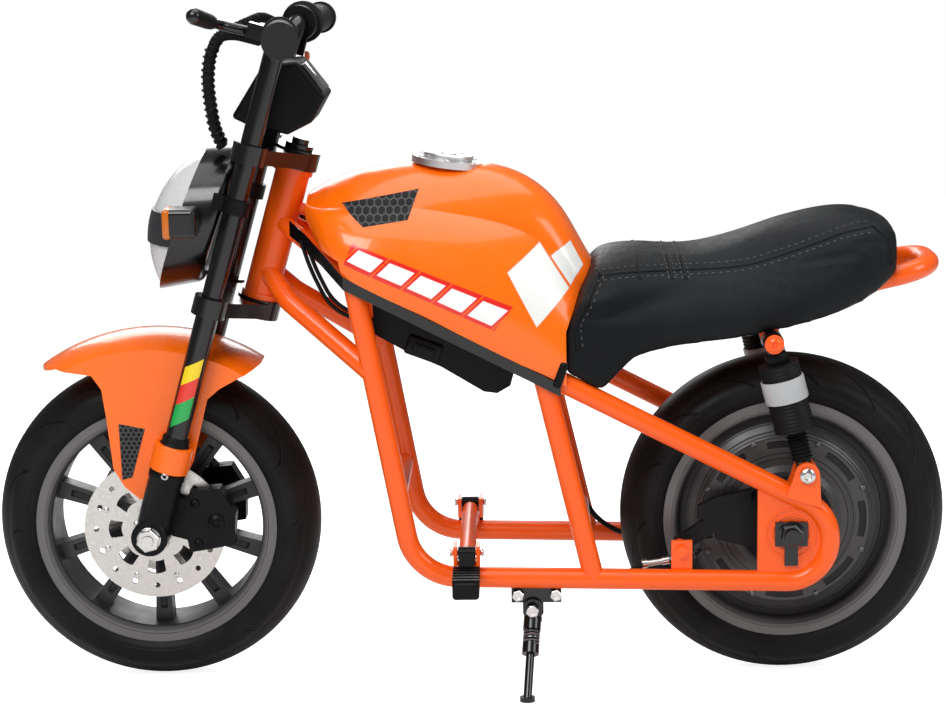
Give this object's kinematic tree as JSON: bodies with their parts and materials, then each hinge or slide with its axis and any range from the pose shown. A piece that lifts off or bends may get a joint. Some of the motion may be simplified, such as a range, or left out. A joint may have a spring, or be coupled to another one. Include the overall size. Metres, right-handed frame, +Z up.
{
  "type": "kids electric motorcycle",
  "caption": "Small child's electric motorcycle with a tubular frame, fat tyres, hub motor, tank, padded seat, fork and fender, leaning on its side stand.",
  "frame": {"origin": "on the floor, under the middle of the bike's bounding box", "axes": "+X forward, +Y to the rider's left, towards which the bike leans on its stand, +Z up"},
  "size_m": [1.026, 0.465, 0.7384],
  "materials": {
    "frame_paint": "gloss",
    "body_paint": "gloss",
    "black_plastic": "satin",
    "black_metal": "gloss",
    "rim_paint": "satin",
    "bright_steel": "brushed",
    "tyre": "matte",
    "grip_rubber": "matte",
    "lens": "frosted",
    "seat_leather": "grained"
  },
  "bodies": {
    "frame": {"head_tube": "frame_paint", "frame_loop_left": "frame_paint", "frame_loop_right": "frame_paint", "rear_pillars": "frame_paint", "down_tubes": "frame_paint", "top_tubes": "frame_paint", "cross_tubes": "frame_paint", "seat_subframe": "frame_paint", "shock_top_rod": "frame_paint", "shocks": "black_metal", "shock_clevises": "frame_paint", "axle_plates": "frame_paint", "axle_caps": "black_metal", "rear_axle": "bright_steel", "rear_brake_plate": "black_plastic", "rear_brake_tab": "frame_paint", "peg_bar": "frame_paint", "tank": "body_paint", "tank_cap": "bright_steel", "tank_trim": "black_plastic", "battery_box": "black_plastic", "seat": "seat_leather", "stand_bracket": "black_metal"},
    "fork": {"steering_stem": "black_metal", "upper_clamp": "black_metal", "lower_clamp": "black_metal", "fork_tubes": "black_metal", "fork_boots": "black_plastic", "front_axle": "bright_steel", "brake_calipers": "black_plastic", "front_fender": "body_paint", "handlebars": "black_metal", "grips": "grip_rubber", "lever_perch": "black_metal", "brake_lever": "black_metal", "throttle_switch": "black_plastic", "dash_display": "black_plastic", "headlight_housing": "black_plastic", "headlight_brackets": "black_plastic", "headlight_lens": "lens", "headlight_band": "black_plastic", "turn_signals": "black_plastic", "brake_hose": "grip_rubber"},
    "front_wheel": {"front_tyre": "tyre", "front_rim": "rim_paint", "brake_discs": "bright_steel"},
    "rear_wheel": {"rear_tyre": "tyre", "rear_rim_motor": "rim_paint"},
    "stand": {"stand_leg": "black_metal"},
    "left_peg": {"peg_left": "black_plastic"},
    "right_peg": {"peg_right": "black_plastic"}
  },
  "joints": [
    {"name": "steering", "type": "hinge", "parent": "frame", "child": "fork", "pos_m": [0.1974, -0.01768, 0.49827], "axis": [-0.2807, 0.0837, 0.9562], "range_deg": [-32, 32]},
    {"name": "front_wheel_spin", "type": "hinge", "parent": "fork", "child": "front_wheel", "pos_m": [0.338, -0.04601, 0.17451], "axis": [0, 0.9962, -0.0872], "continuous": true},
    {"name": "rear_wheel_spin", "type": "hinge", "parent": "frame", "child": "rear_wheel", "pos_m": [-0.338, -0.04601, 0.17451], "axis": [0, 0.9962, -0.0872], "continuous": true},
    {"name": "stand_swing", "type": "hinge", "parent": "frame", "child": "stand", "pos_m": [-0.066, 0.04175, 0.08753], "axis": [0, 0.9962, -0.0872], "range_deg": [0, 82]},
    {"name": "left_peg_fold", "type": "hinge", "parent": "frame", "child": "left_peg", "pos_m": [0.0022, 0.0543, 0.15068], "axis": [1, 0, 0], "range_deg": [0, 70]},
    {"name": "right_peg_fold", "type": "hinge", "parent": "frame", "child": "right_peg", "pos_m": [0.0022, -0.14893, 0.16846], "axis": [-1, 0, 0], "range_deg": [0, 70]}
  ]
}
